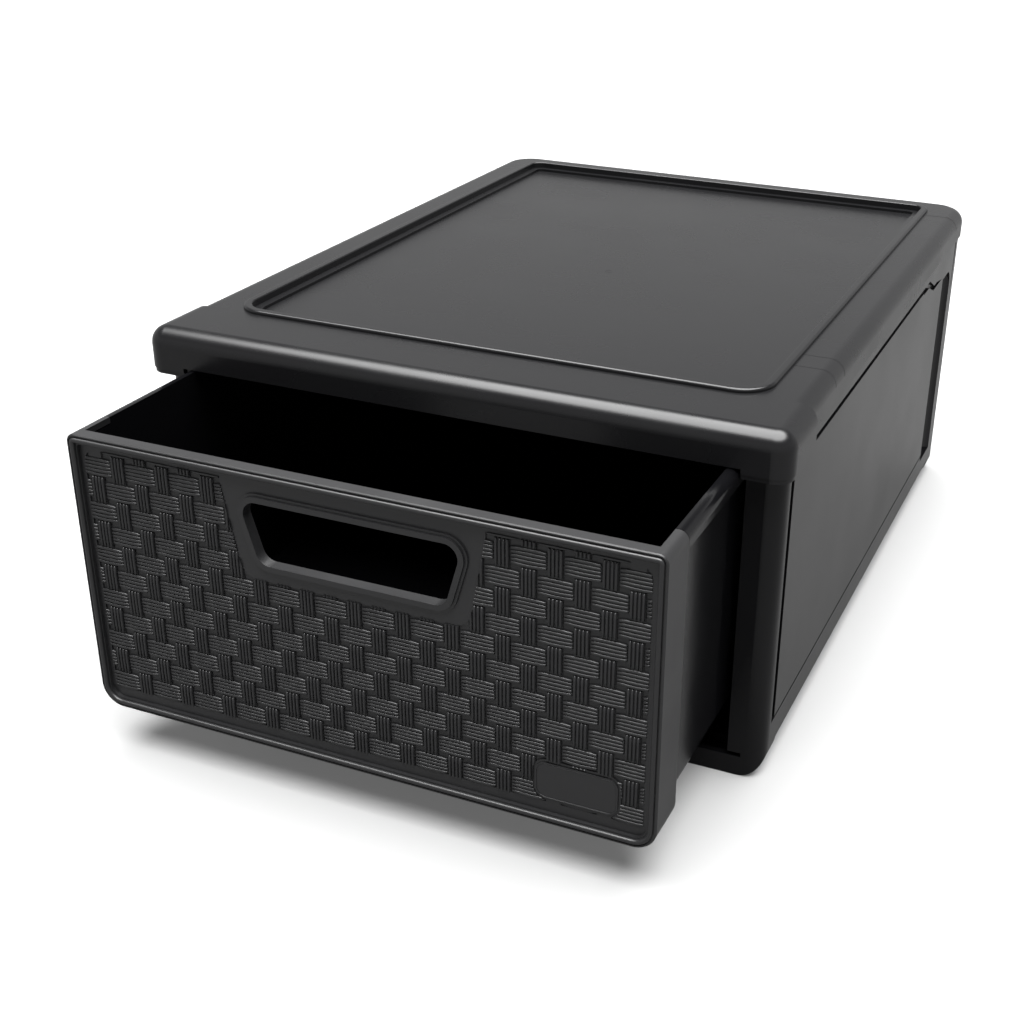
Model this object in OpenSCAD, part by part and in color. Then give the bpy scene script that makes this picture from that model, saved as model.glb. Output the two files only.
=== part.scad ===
// Stackable drawer box: a moulded housing of five snapped panels around one
// open drawer with a basket-weave front and a cut-through hand hold.
// Millimetres, +Z up. Origin: middle of the footprint on the floor.
// X runs to the right seen from the front, the front faces -Y.
// The drawer is drawn pulled out by drawer_open, as in the picture.

/* [Housing] */
// Width over the front bar, the widest part
house_w = 300; // [260:1:360]
// Depth from the face of the front bar to the back of the rim
house_d = 388; // [330:1:450]
// Height of the flat rim top over the floor
house_h = 165; // [150:1:230]
// How far the front bar stands out past the side rails
bar_proud = 3; // [2:0.5:5]
// How far the side and back walls sit inside the rim
wall_inset = 1; // [0.8:0.1:1.6]
// How far the pillars sit behind the face of the front bar
pillar_setback = 9; // [7:0.5:12]
// Thickness of the moulded side walls
wall = 4; // [3.5:0.1:5]

/* [Top cover] */
// Thickness of the cover skin
skin = 2.8; // [2:0.1:3.2]
// Height of the front bar's face
bar_face = 16.6; // [14:0.1:20]
// Depth of the front bar, front to back
bar_depth = 37; // [30:1:50]
// Radius of the front bar's rounded edge
bar_round = 8; // [6:0.5:10]
// Height of the rim along the sides and back
rail_face = 14.5; // [12:0.5:16]
// Radius of the rim's rounded top edge
rail_round = 7; // [5:0.5:8]
// Plan radius of the rim's back corners
rim_corner = 18; // [14:1:24]
// How far the corner skirts hang below the front bar
skirt_drop = 4.2; // [3:0.1:6]
// Set-back of the lowest line of the corner skirts
skirt_step = 0.5; // [0.3:0.1:1]

/* [Stacking lip] */
// Distance from the rail's outer face to the lip
lip_inset_side = 19; // [17:0.5:24]
// Distance from the face of the front bar to the lip
lip_inset_front = 36; // [32:0.5:46]
// Distance from the back of the rim to the lip
lip_inset_back = 17.5; // [16:0.5:24]
// Width of the lip
lip_w = 4; // [3:0.1:5]
// Height of the lip over the rim
lip_h = 1.8; // [1.2:0.1:2.5]
// Depth of the ledge inside the lip, below the rim
ledge_drop = 1.4; // [1:0.1:1.8]
// Width of the ledge inside the lip
ledge_w = 4; // [2.5:0.1:6]
// Depth of the top panel below the rim
panel_drop = 2.8; // [2.2:0.1:3.5]
// Plan radius of the lip's front corners
lip_r_front = 15; // [11:0.5:18]
// Plan radius of the lip's back corners
lip_r_back = 10; // [10:0.5:14]

/* [Side panels] */
// Width of the pillar face, seen from the front
pillar_w = 16; // [14:0.5:20]
// Depth of the pillars and the feet under them
pillar_d = 19; // [16:0.5:26]
// Plan radius of the pillars' outer corners
pillar_r = 8; // [5:0.5:9]
// Thickness of the pillar's front and inner walls
pillar_skin = 2.5; // [2:0.1:3]
// Radius of the side wall's rounded lower edge
heel_r = 12; // [10:0.5:14]
// Height of the side wall's underside over the floor
side_lift = 5; // [4:0.5:7]
// Width of the upright groove behind the front pillar
groove_v = 4.4; // [3:0.1:6]
// Distance from the pillar face to that groove
groove_y = 9.6; // [8.5:0.1:12]
// Width of the long groove over the side field
groove_h = 2.5; // [2:0.1:4]
// Height of the long groove below the rim top
groove_top = 20; // [19:0.5:26]
// Depth of both grooves
groove_d = 1.8; // [1:0.1:2]
// Corner radius where the grooves meet
groove_r = 8; // [6:0.5:12]
// Height of the side field's lower line over the floor
field_low = 25; // [22:0.5:32]
// Drop of the step at the back of the long groove
jog = 6.5; // [4:0.5:8]
// Length over which it steps down
jog_len = 15; // [10:1:18]
// Width of the deep upright recess near the back
recess_w = 25; // [18:1:32]
// Depth of that recess
recess_d = 4.5; // [3:0.5:5]
// Distance from the back of the pillar to the recess
recess_back = 26.5; // [24:0.5:32]

/* [Base] */
// Height of the seam between the feet and the pillars
foot_h = 11.5; // [10:0.5:11.5]
// Height of the base bar's top edge between the feet
base_bar_h = 9.5; // [8:0.5:10]
// Thickness of the base floor
floor_t = 3; // [2:0.1:3.5]
// Clearance round the lip of the box below
nest_gap = 1.5; // [1:0.1:2.5]

/* [Drawer] */
// Width of the drawer front
front_w = 259; // [225:0.5:318]
// Height of the drawer front's lower edge over the floor
front_low = 19.5; // [16:0.5:24]
// Depth of the drawer front's side returns
front_d = 22; // [16:0.5:26]
// How far the drawer stands open past the pillars
drawer_open = 89.2; // [10:0.1:180]
// Running gap between the drawer and everything it slides past
run_gap = 0.5; // [0.4:0.05:1]
// Seat gap between the tub and the ledges it slides on
seat_gap = 0.3; // [0.3:0.01:0.35]
// Gap between the drawer's top and the front bar
top_gap = 0.6; // [0.5:0.1:1.5]
// Height of the tub's underside over the floor
tub_low = 29; // [27:0.5:34]
// Thickness of the tub's walls and floor
tub_wall = 2.5; // [2:0.1:3]
// Thickness of the tub's front wall behind the woven front
tub_front_wall = 1.8; // [1.5:0.1:2.5]
// Radius of the tub's lower edges
tub_round = 5; // [4:0.5:6]
// Plan radius of the tub's corners
tub_corner = 8; // [6:0.5:10]
// Height of the band that hangs from the flange
flange_h = 7; // [5:0.5:10]
// Wall of the hanging band and of the front's returns
band_t = 2.7; // [2:0.1:2.9]

/* [Woven front] */
// Depth of the front's flat margin behind its bead
margin_d = 3; // [2:0.1:4]
// Thickness of the front plate at the margin
plate_t = 1.7; // [1.4:0.1:2.5]
// Depth of the weave's ground below the margin
weave_d = 0.6; // [0.5:0.05:1]
// Width of the rim round the front, from its edge to the bead's inner side
bead_w = 3.7; // [3.2:0.1:3.9]
// Width of the set-back lip and its groove outside the bead
bead_lip = 1.5; // [1.2:0.1:1.8]
// How far the lip sits behind the bead
bead_back = 0.8; // [0.4:0.1:1]
// Width of the low step inside the bead
bead_step = 0.7; // [0.4:0.1:1]
// Distance from the front's edge to the woven field
field_inset = 6.4; // [5.5:0.1:9]
// Radius of the front's lower corners
front_r_low = 10; // [8:0.5:14]
// Radius of the front's upper corners
front_r_top = 4; // [3:0.5:6]
// Number of weave columns across
weave_cols = 23; // [17:2:27]
// Number of weave rows down
weave_rows = 11; // [9:1:13]
// Width of an upright strand bundle
warp_w = 6.2; // [4:0.1:7]
// Gap between neighbouring bundles
weave_gap = 0.35; // [0.3:0.05:0.8]
// How much a cross bundle narrows towards its ends
weft_pinch = 0.65; // [0.4:0.05:1.2]

/* [Hand hold] */
// Width of the hand hold at its top
hold_w_top = 98; // [80:1:110]
// Width of the hand hold at its bottom
hold_w_low = 82; // [70:1:96]
// Height of the hand hold
hold_h = 27; // [22:0.5:32]
// Distance from the front's top edge to the hand hold
hold_down = 14; // [12:0.5:20]
// Corner radius of the hand hold
hold_r = 6; // [4:0.5:8]
// Width of the raised ring round the hand hold
hold_ring = 3.6; // [3:0.1:5]
// Height of that ring over the margin
hold_proud = 1.8; // [1:0.1:2.6]
// Width of the ring's outer step
hold_step = 1.2; // [0.8:0.1:2]
// Width of the smooth margin round the ring
hold_margin = 8; // [6:0.5:10]

/* [Name plate] */
// Width of the bare plate
plate_w = 34.6; // [25:0.1:45]
// Height of the bare plate
plate_h = 16.7; // [12:0.1:20]
// Corner radius of the bare plate
plate_r = 4.5; // [3:0.1:6]
// Distance from the woven field's right edge to the plate
plate_in = 10.4; // [8:0.1:16]
// Distance from the woven field's lower edge to the plate
plate_up = 1.9; // [1.5:0.1:6]

/* [Hidden] */
$fn = 96;
eps = 0.01;
hx_bar = house_w / 2;
hx_rim = hx_bar - bar_proud;
hx_side = hx_rim - wall_inset;
y_front = -house_d / 2;
y_back = house_d / 2;
y_bar = y_front + bar_depth;
y_pillar = y_front + pillar_setback;
y_rear = y_back - skin - wall_inset / 2;
bar_corner = bar_round + 0.5;
z_bar = house_h - bar_face;
z_rail = house_h - rail_face;
hx_open = hx_side - pillar_w;
hx_wall = hx_side - wall;
hx_lip = hx_rim - lip_inset_side;
y_lip0 = y_front + lip_inset_front;
y_lip1 = y_back - lip_inset_back;
lip_soft = 1.2;
skirt_len = 23;
// gaps of parts that stay put: parts that snap together, parts that only meet
fit_gap = 0.3;
seam = 0.2;
// side panel: its recess, the step of its long groove, and its fine lines
recess_r = 10;
recess_land = 1.5;
pocket_t = 2;
jog_back = 67;
line_w = 1;
slot_h = 28;
tongue_t = 2.8;
tongue_h = 7;
tongue_in = 6;
// ledges the tub slides on
z_run = tub_low - seat_gap;
run_t = 3;
y_run = y_pillar + max(front_d, pillar_d) + 2 * run_gap;
hx_run = 0.865 * front_w / 2;
// base: the feet at the back are longer than those in front
heel_x = hx_side - heel_r;
foot_more = 5;
y_foot0 = y_pillar + pillar_d;
y_foot1 = y_rear - pillar_d - foot_more;
// drawer
hx_front = min(front_w / 2, hx_open - run_gap);
y_face = y_pillar - drawer_open;
y_return = y_face + front_d;
z_top = z_bar - top_gap;
front_h = z_top - front_low;
snap_gap = 0.15;
hx_tub = hx_front - band_t - snap_gap;
y_tub0 = y_face + margin_d + plate_t;
flange_out = hx_front - hx_tub;
flange_w = flange_out + tub_wall;
back_t = 2.5;
back_rib = 1.2;
slot_gap = 0.2;
y_backplate = y_rear - pillar_skin - back_t - 2 * slot_gap;
y_tub1 = y_backplate - run_gap - flange_out - drawer_open;
rail_top_t = band_t + 0.7;
rear_r = rim_corner - 3;
// weave: the margin is wider below the field, the first row is cut short, and
// the cross bundles lie a little lower than the upright ones
field_lift = 2.6;
row_slack = 0.1;
first_row = 0.71;
weft_share = 0.81;
weft_level = 0.75;
plate_groove = 1.1;
plate_proud = 0.3;
weave_w = 2 * (hx_front - field_inset);
weave_h = front_h - 2 * field_inset - field_lift;
weave_z0 = front_low + field_inset + field_lift;
col_pitch = weave_w / weave_cols;
row_pitch = weave_h / (weave_rows + row_slack);
warp_len = row_pitch + (row_pitch - weft_h()) - weave_gap;
weft_len = 2 * col_pitch - warp_w - 2 * weave_gap;
lid_black = "#2b2b2c";
body_black = "#232324";
drawer_black = "#1d1d1e";

// Height of a cross bundle at its middle.
function weft_h() = weft_share * row_pitch;

// ---- shapes used by several pieces ----

// The shape and its mirror image across the middle plane.
module both_sides() {
    children();
    mirror([1, 0, 0]) children();
}

// Plan outline with rounded corners, radius r0 at y0 and r1 at y1.
module slab(hx, y0, y1, r0, r1) {
    both_sides() {
        polygon([[0, y0], [hx - r0, y0], [hx, y0 + r0],
                 [hx, y1 - r1], [hx - r1, y1], [0, y1]]);
        translate([hx - r0, y0 + r0]) circle(r = r0);
        translate([hx - r1, y1 - r1]) circle(r = r1);
    }
}

// Plan outline with rounded corners at y0 only.
module nose(hx, y0, y1, r) {
    both_sides() {
        polygon([[0, y0], [hx - r, y0], [hx, y0 + r], [hx, y1], [0, y1]]);
        translate([hx - r, y0 + r]) circle(r = r);
    }
}

// Sweeps a section (x outward, y up) round a U: two legs from y_open and a
// closed end at y_shut, with corners of plan radius r.
module u_sweep(hx, y_open, y_shut, r) {
    both_sides() {
        translate([hx, y_shut - r, 0])
            rotate([90, 0, 0]) linear_extrude(y_shut - r - y_open) children();
        translate([hx - r, y_shut - r, 0])
            rotate_extrude(angle = 90) translate([r, 0]) children();
    }
    translate([r - hx, y_shut, 0])
        rotate([90, 0, 90]) linear_extrude(2 * (hx - r)) children();
}

// Sweeps a section round a closed frame from y0 to y1.
module ring_sweep(hx, y0, y1, r0, r1) {
    ym = (y0 + y1) / 2;
    u_sweep(hx, ym, y1, r1) children();
    mirror([0, 1, 0]) u_sweep(hx, -ym, -y0, r0) children();
}

// Block of the given reach and drop whose upper outer corner, at the origin,
// is rounded.
module rounded_block(reach, drop, r) {
    polygon(concat([[-reach, -drop], [0, -drop], [0, -r], [-r, 0]],
                   reach > r ? [[-reach, 0]] : []));
    translate([-r, -r]) intersection() {
        circle(r = r);
        square(r);
    }
}

// Section of a skin of even thickness under such a rounded corner.
module rounded_skin(reach, drop, r, t) {
    difference() {
        rounded_block(reach, drop, r);
        translate([-t, -t]) rounded_block(reach, drop, r - t);
    }
}

// Four-sided outline, wider at the top, with all corners rounded; grow moves
// every edge outward by the same amount.
module tapered(w_top, w_low, z0, h, r, grow) {
    lean = atan2((w_top - w_low) / 2, h);
    half = (w_top + w_low) / 4 + grow / cos(lean);
    rr = r + grow;
    reach = h / 2 + grow;
    zc = reach - rr;
    shift = zc * tan(lean);
    cx_top = half + shift - rr / cos(lean);
    cx_low = half - shift - rr / cos(lean);
    nx = rr * cos(lean);
    nz = rr * sin(lean);
    translate([0, z0 + h / 2]) {
        both_sides() {
            polygon([[0, -reach], [cx_low, -reach], [cx_low + nx, -zc - nz],
                     [cx_top + nx, zc - nz], [cx_top, reach], [0, reach]]);
            translate([cx_top, zc]) circle(r = rr);
            translate([cx_low, -zc]) circle(r = rr);
        }
    }
}

// ---- top cover ----

// Corner skirt in plan: the bar's skin, kept only near a front corner.
module skirt_plan(inset) {
    intersection() {
        difference() {
            nose(hx_bar - inset, y_front + inset, y_bar, bar_corner - inset);
            nose(hx_bar - skin, y_front + skin, y_bar + 1, bar_corner - skin);
        }
        both_sides() translate([hx_open, y_front])
            square([hx_bar - hx_open, skirt_len]);
    }
}

module top_cover() color(lid_black) {
    z_skirt = z_bar - skirt_drop;
    difference() {
        union() {
            translate([0, 0, house_h]) {
                u_sweep(hx_rim, y_bar - skin, y_back, rim_corner)
                    rounded_skin(rail_round + 1, rail_face, rail_round, skin);
                mirror([0, 1, 0]) u_sweep(hx_bar, -y_bar, -y_front, bar_corner)
                    rounded_skin(bar_round, bar_face, bar_round, skin);
                // ends of the bar, closed where they step down to the rails
                both_sides() translate([hx_bar, y_bar, 0]) rotate([90, 0, 0])
                    linear_extrude(skin)
                        rounded_block(bar_round, bar_face, bar_round);
            }
            translate([0, 0, house_h - skin]) linear_extrude(skin) {
                nose(hx_bar - bar_round, y_front + bar_round, y_bar,
                     bar_corner - bar_round);
                nose_back();
            }
            // floor of the sunk panel and the lip round it
            translate([0, 0, house_h - panel_drop - skin])
                linear_extrude(panel_drop + skin)
                    slab(hx_lip, y_lip0, y_lip1, lip_r_front, lip_r_back);
            translate([0, 0, house_h + lip_h])
                ring_sweep(hx_lip, y_lip0, y_lip1, lip_r_front, lip_r_back)
                    lip_section();
            // corner skirts with their set-back lower line
            translate([0, 0, z_skirt]) linear_extrude(skirt_drop + eps)
                skirt_plan(skirt_step);
            translate([0, 0, z_skirt + skirt_drop / 2])
                linear_extrude(skirt_drop / 2 + eps) skirt_plan(0);
        }
        translate([0, 0, house_h - ledge_drop]) linear_extrude(ledge_drop + lip_h)
            slab(hx_lip - lip_w, y_lip0 + lip_w, y_lip1 - lip_w,
                 lip_r_front - lip_w, lip_r_back - lip_w);
        translate([0, 0, house_h - panel_drop]) linear_extrude(panel_drop)
            slab(hx_lip - lip_w - ledge_w, y_lip0 + lip_w + ledge_w,
                 y_lip1 - lip_w - ledge_w,
                 lip_r_front - lip_w - ledge_w + 1,
                 lip_r_back - lip_w - ledge_w + 1);
    }
}

// Flat part of the rim between its rounded edges.
module nose_back() {
    mirror([0, 1, 0])
        nose(hx_rim - rail_round, rail_round - y_back, skin - y_bar,
             rim_corner - rail_round);
}

// Section of the stacking lip, its upper outer corner at the origin.
module lip_section() {
    soft_in = lip_soft / 2;
    polygon([[-lip_w, -lip_h], [0, -lip_h], [0, -lip_soft], [-lip_soft, 0],
             [soft_in - lip_w, 0], [-lip_w, -soft_in]]);
    translate([-lip_soft, -lip_soft]) circle(r = lip_soft);
    translate([soft_in - lip_w, -soft_in]) circle(r = soft_in);
}

// ---- side panels ----

// Plan of the hollow front pillar, outer corner rounded, open to the back.
module pillar_plan() {
    translate([hx_side, 0]) mirror([0, 1]) difference() {
        rounded_block(pillar_w, pillar_d, pillar_r);
        translate([-wall, -pillar_skin])
            rounded_block(pillar_w - wall - pillar_skin, pillar_d, pillar_r - wall);
    }
}

// Plan of the back post: a rounded corner, a flange behind the back panel and
// a rib in front of it, drawn with its back face at y = 0.
module post_plan() {
    lap = 8;
    y_rib = y_backplate - slot_gap - y_rear;
    translate([hx_side, 0])
        rounded_skin(pillar_w + lap, pillar_w + rear_r, rear_r, pillar_skin);
    translate([hx_wall, -rear_r - pillar_w]) square([wall, pillar_w]);
    translate([hx_open - lap / 2, y_rib - pillar_skin])
        square([pillar_w + lap / 2 - pillar_skin / 2, pillar_skin]);
}

// Upright section of the wall with its rounded heel.
module wall_section() {
    translate([hx_side, side_lift]) mirror([0, 1])
        rounded_skin(heel_r, z_rail - side_lift, heel_r, wall);
}

// Grooves round the side field, drawn as seen from the side (y, z).
module side_grooves() {
    g0 = y_pillar + groove_y;
    zt = house_h - groove_top;
    y_end = y_rear - recess_back - jog_back;
    run = jog_len / 2;
    difference() {
        translate([y_end, zt]) mirror([1, 0]) translate([y_end - g0, 0])
            rounded_block(y_end - g0, zt - field_low, groove_r);
        translate([y_end + 1, zt - groove_h]) mirror([1, 0])
            translate([y_end + 1 - g0 - groove_v, 0])
                rounded_block(y_end + 1 - g0 - groove_v, zt, groove_r / 2);
    }
    // it widens, steps down once and ends over the recess
    polygon([[y_end, zt], [y_end + jog_len, zt - jog], [y_end + jog_len + run, zt - jog],
             [y_end + 2 * jog_len + run, zt - jog - groove_h],
             [y_end + jog_len - 1, zt - jog - groove_h],
             [y_end - 1, zt - groove_h - 1], [y_end - jog_len, zt - groove_h - 1],
             [y_end - jog_len, zt - groove_h], [y_end, zt - groove_h]]);
}

// Outline of the deep upright recess near the back, its back corner rounded.
module side_recess(grow) {
    z1 = house_h - groove_top - jog - groove_h - recess_land + grow;
    translate([y_rear - recess_back + grow, z1])
        rounded_block(recess_w + 2 * grow, z1 - field_low + 4 + grow, recess_r);
}

// Hollow of the recess: a wide cove that runs up the panel.
module recess_hollow() {
    cove_r = (pow(recess_w / 2, 2) + pow(recess_d, 2)) / (2 * recess_d);
    intersection() {
        translate([hx_side - recess_d, 0, 0]) rotate([90, 0, 90])
            linear_extrude(recess_d + 1) side_recess(0);
        translate([hx_side - recess_d + cove_r, y_rear - recess_back - recess_w / 2, 0])
            cylinder(h = house_h, r = cove_r);
    }
}

module side_panel() {
    z_shelf = z_run - run_t;
    web_t = run_t - 0.5;
    y_recess = y_rear - recess_back;
    difference() {
        union() {
            translate([0, y_foot1, 0]) rotate([90, 0, 0])
                linear_extrude(y_foot1 - y_foot0) wall_section();
            translate([hx_wall, y_pillar + pillar_r, foot_h])
                cube([wall, y_rear - rear_r - y_pillar - pillar_r, z_rail - foot_h]);
            translate([0, y_pillar, foot_h])
                linear_extrude(house_h - bar_round - 1 - foot_h) pillar_plan();
            translate([0, y_rear, foot_h]) linear_extrude(z_rail - foot_h) post_plan();
            // tongue that stands up inside the rim
            translate([hx_rim - skin - fit_gap - tongue_t, y_bar + tongue_in,
                       z_rail - tongue_in])
                cube([tongue_t, y_rear - y_bar - tongue_in - rim_corner,
                      tongue_h + tongue_in]);
            // pocket wall behind the recess
            translate([hx_side - recess_d - pocket_t, 0, 0]) rotate([90, 0, 90])
                linear_extrude(recess_d + pocket_t) side_recess(pocket_t);
            // ledge the tub slides on, with its upright web
            translate([hx_run, y_run, z_shelf])
                cube([hx_wall - hx_run + eps, y_backplate - slot_gap - y_run, run_t]);
            translate([hx_run, y_run, side_lift + floor_t])
                cube([web_t, y_foot1 - 1 - y_run, z_shelf - side_lift - floor_t + eps]);
        }
        translate([hx_side - groove_d, 0, 0]) rotate([90, 0, 90])
            linear_extrude(groove_d + 1) side_grooves();
        recess_hollow();
        // upright slot between the recess and the corner, narrower downward
        translate([hx_side - line_w, y_recess + 5 * line_w, z_bar]) rotate([90, 0, 90])
            linear_extrude(2 * line_w)
                polygon([[0, 0], [0, -slot_h], [line_w, -slot_h], [2.5 * line_w, 0]]);
        // fine line along the bottom of the side field
        translate([hx_side - line_w / 2, y_pillar + groove_y, field_low - line_w])
            cube([line_w, y_recess - recess_w - y_pillar - groove_y, line_w + eps]);
        // room for the closed end of the front bar
        translate([hx_wall - 1, y_foot0, z_bar - fit_gap])
            cube([wall + 2, y_bar + run_gap - y_foot0, rail_face]);
    }
}

module right_side() color(body_black) side_panel();

module left_side() color(body_black) mirror([1, 0, 0]) side_panel();

// ---- back panel ----

module back_panel() color(body_black) {
    lap = 2;
    frame_in = 14;
    frame_w = 4;
    r = 4;
    z1 = house_h - skin - run_gap;
    translate([0, y_backplate, 0]) {
        translate([-hx_open - lap, 0, foot_h])
            cube([2 * (hx_open + lap), back_t, z1 - foot_h]);
        // raised frame that stiffens the plate, on its outer face
        translate([0, back_t + back_rib, 0]) rotate([90, 0, 0])
            linear_extrude(back_rib + eps) difference() {
                slab(hx_open - frame_in, foot_h + frame_in, z_rail - frame_in, r, r);
                slab(hx_open - frame_in - frame_w, foot_h + frame_in + frame_w,
                     z_rail - frame_in - frame_w, r / 2, r / 2);
            }
    }
}

// ---- base ----

// Front view outline of the base: rounded heels at both lower corners.
module heel_outline() {
    translate([-heel_x, 0]) square([2 * heel_x, foot_h]);
    intersection() {
        both_sides() translate([heel_x, heel_r]) circle(r = heel_r);
        translate([-hx_side, 0]) square([2 * hx_side, foot_h]);
    }
}

module base() color(body_black) {
    rib = 3;
    hx_foot = hx_lip + nest_gap;
    difference() {
        union() {
            intersection() {
                linear_extrude(foot_h) nose(hx_side, y_pillar, y_foot0, pillar_r);
                translate([0, y_foot0, 0]) rotate([90, 0, 0])
                    linear_extrude(pillar_d) heel_outline();
            }
            intersection() {
                linear_extrude(foot_h) mirror([0, 1, 0])
                    nose(hx_side, -y_rear, -y_foot1, rear_r);
                translate([0, y_rear, 0]) rotate([90, 0, 0])
                    linear_extrude(y_rear - y_foot1) heel_outline();
            }
            translate([seam - heel_x, y_foot0 - eps, side_lift])
                cube([2 * (heel_x - seam), y_foot1 - y_foot0 + 2 * eps, floor_t]);
            // rails that stand round the lip of the box below
            both_sides() translate([hx_foot, y_foot0 - eps, 0])
                cube([heel_x - seam - hx_foot, y_foot1 - y_foot0 + 2 * eps,
                      side_lift + eps]);
        }
        // front bar: a trough behind a low front wall
        translate([-heel_x, y_pillar + rib, floor_t])
            cube([2 * heel_x, pillar_d - 2 * rib, foot_h]);
        translate([-hx_open - 2 * rib, y_pillar - 1, base_bar_h])
            cube([2 * (hx_open + 2 * rib), rib + 2, foot_h]);
        translate([-heel_x, y_foot0 - rib - 1, side_lift + floor_t])
            cube([2 * heel_x, rib + 2, foot_h]);
        // back bar: the same trough, and room for the lip of the box below
        translate([-heel_x, y_foot1 - 1, side_lift + floor_t])
            cube([2 * heel_x, y_rear - y_foot1 - rib - pillar_skin, foot_h]);
        translate([-hx_foot, y_foot1 - 1, -1])
            cube([2 * hx_foot, y_lip1 + nest_gap - y_foot1 + 1, side_lift + 1]);
    }
}

// ---- drawer tub ----

module drawer_tub() color(drawer_black) {
    z_wall = z_top - rail_top_t;
    difference() {
        union() {
            translate([0, 0, tub_low])
                ring_sweep(hx_tub, y_tub0, y_tub1, tub_corner, tub_corner)
                    mirror([0, 1])
                        rounded_skin(tub_round + 1, z_wall - tub_low, tub_round, tub_wall);
            translate([0, 0, tub_low]) linear_extrude(tub_wall)
                slab(hx_tub - tub_round, y_tub0 + tub_round, y_tub1 - tub_round,
                     tub_corner - tub_round, tub_corner - tub_round);
            // rim flange with its hanging band, behind the drawer front
            translate([0, 0, z_top])
                u_sweep(hx_front, y_return + seam, y_tub1 + hx_front - hx_tub,
                        tub_corner + hx_front - hx_tub)
                    flange_section();
        }
        // hand hold and the thinner front wall
        translate([0, y_tub0 + tub_wall + 1, 0]) rotate([90, 0, 0])
            linear_extrude(tub_wall + 2)
                tapered(hold_w_top, hold_w_low, z_top - hold_down - hold_h,
                        hold_h, hold_r, hold_ring + snap_gap);
        translate([-hx_tub + 2 * tub_wall, y_tub0 + tub_front_wall, tub_low + tub_round + 1])
            cube([2 * (hx_tub - 2 * tub_wall), tub_wall, z_top]);
    }
}

// Section of the rim flange, its upper outer corner at the origin.
module flange_section() {
    difference() {
        rounded_block(flange_w, flange_h, front_r_top);
        translate([-flange_w - 1, -flange_h - 1])
            square([flange_w + 1 - band_t, flange_h + 1 - rail_top_t]);
    }
}

// ---- woven drawer front ----

// Outline of the front, inset on all sides; drawn as (x, z).
module front_outline(side, low, r_low, r_top) {
    slab(hx_front - side, front_low + low, z_top - side, r_low, r_top);
}

// Smooth area round the hand hold.
module hold_apron() {
    spread_top = 2.6;
    spread_low = 2.3;
    tapered(hold_w_top + spread_top * hold_margin, hold_w_low + spread_low * hold_margin,
            z_top - hold_down - hold_h - hold_margin,
            hold_h + hold_down + hold_margin, hold_margin, 0);
}

// One cross bundle: a barrel outline, pinched towards both ends.
module weft_pad() {
    h = weft_h();
    sag_r = (pow(weft_len / 2, 2) + pow(weft_pinch, 2)) / (2 * weft_pinch);
    intersection() {
        square([weft_len, h], center = true);
        translate([0, h / 2 - sag_r]) circle(r = sag_r, $fn = 180);
        translate([0, sag_r - h / 2]) circle(r = sag_r, $fn = 180);
    }
}

// Plain weave over the whole field: upright and cross bundles alternate.
module weave_pads(upright) {
    last_col = (weave_cols - 1) / 2;
    z_first = weave_z0 + weave_h - row_pitch * first_row;
    for (row = [-1 : weave_rows - 1], col = [-last_col - 1 : last_col + 1]) {
        is_warp = (row + col + weave_rows * 2 + last_col) % 2 == 1;
        if (is_warp == upright)
            translate([col * col_pitch, z_first - row * row_pitch])
                if (upright) square([warp_w, warp_len], center = true);
                else weft_pad();
    }
}

// Field that carries the weave, without the apron and the name plate.
module weave_field() {
    field_r_low = 2;
    field_r_top = 6;
    difference() {
        slab(weave_w / 2, weave_z0, weave_z0 + weave_h, field_r_low, field_r_top);
        hold_apron();
        name_plate_outline(plate_groove);
    }
}

module name_plate_outline(grow) {
    x1 = weave_w / 2 - plate_in;
    z0 = weave_z0 + plate_up;
    translate([x1 - plate_w / 2, 0])
        slab(plate_w / 2 + grow, z0 - grow, z0 + plate_h + grow,
             plate_r + grow, plate_r + grow);
}

// Section of the rim round the front: return wall, set-back lip, groove and
// round bead, with the outer edge at x = 0 and the bead's crest at y = 0.
module bead_section() {
    r = (bead_w - bead_lip) / 2;
    soft = 0.4;
    groove = 0.6;
    polygon([[-band_t, -front_d], [0, -front_d], [0, -bead_back - soft],
             [-soft, -bead_back], [groove - bead_lip, -bead_back],
             [groove - bead_lip, -bead_back - groove], [-bead_lip, -bead_back - groove],
             [-bead_lip, -r], [-bead_w, -r], [-bead_w, -margin_d], [-band_t, -margin_d]]);
    translate([-bead_lip - r, -r]) circle(r = r);
}

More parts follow.
